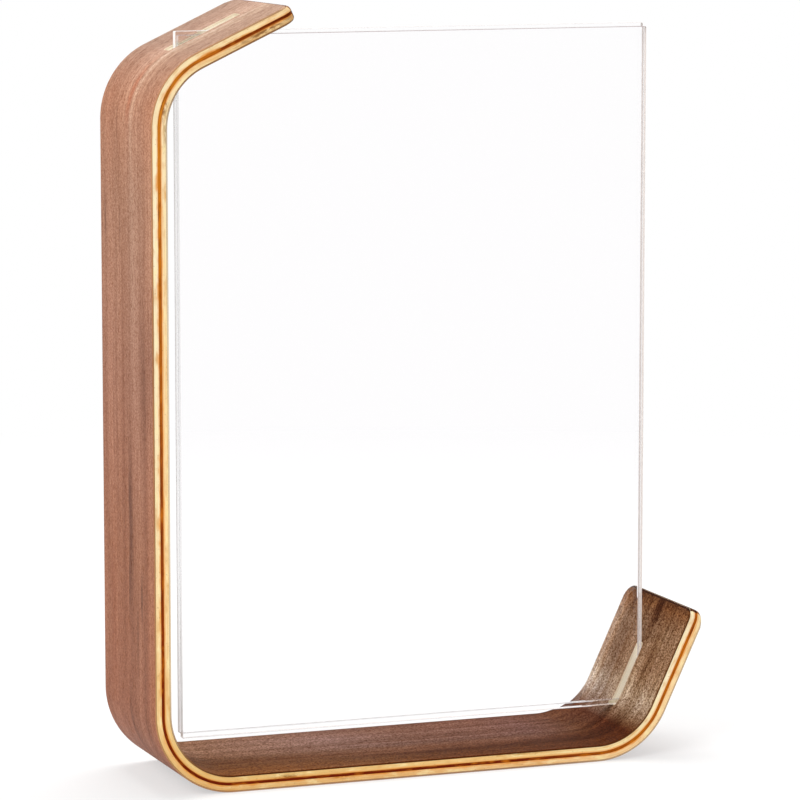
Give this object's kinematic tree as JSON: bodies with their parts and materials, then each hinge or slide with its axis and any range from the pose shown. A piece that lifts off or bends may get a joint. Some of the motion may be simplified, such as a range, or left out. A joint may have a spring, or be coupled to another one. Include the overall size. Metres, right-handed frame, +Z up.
{
  "type": "floating picture frame",
  "caption": "Bent laminated walnut band with short sloping arms that hold clear sheets upright by opposite corners, for showing a print.",
  "frame": {"origin": "bottom centre of the whole frame's bounding box, on the surface it stands on", "axes": "+Z up along the upright, +X from the upright to the open side, front of the frame towards -Y"},
  "size_m": [0.1494, 0.0426, 0.1961],
  "materials": {
    "outer_walnut": "oiled walnut veneer, fine straight grain along the band",
    "inner_walnut": "oiled walnut veneer, fine straight grain along the band",
    "pale_core": "sanded and sealed ply edge",
    "dark_centre": "sanded and sealed ply edge",
    "clear_sheet": "clear acrylic, polished edges"
  },
  "bodies": {
    "band": {"outer_walnut_veneer": "outer_walnut", "outer_pale_core_ply": "pale_core", "dark_centre_ply": "dark_centre", "inner_pale_core_ply": "pale_core", "inner_walnut_veneer": "inner_walnut"},
    "front_sheet": {"front_clear_sheet": "clear_sheet"},
    "rear_sheet": {"rear_clear_sheet": "clear_sheet"}
  },
  "joints": [
    {"name": "front_sheet_slide", "type": "slide", "parent": "band", "child": "front_sheet", "axis": [0, 0, 1], "range_m": [0, 0.0009]},
    {"name": "rear_sheet_slide", "type": "slide", "parent": "band", "child": "rear_sheet", "axis": [0, 0, 1], "range_m": [-0.0009, 0]}
  ]
}
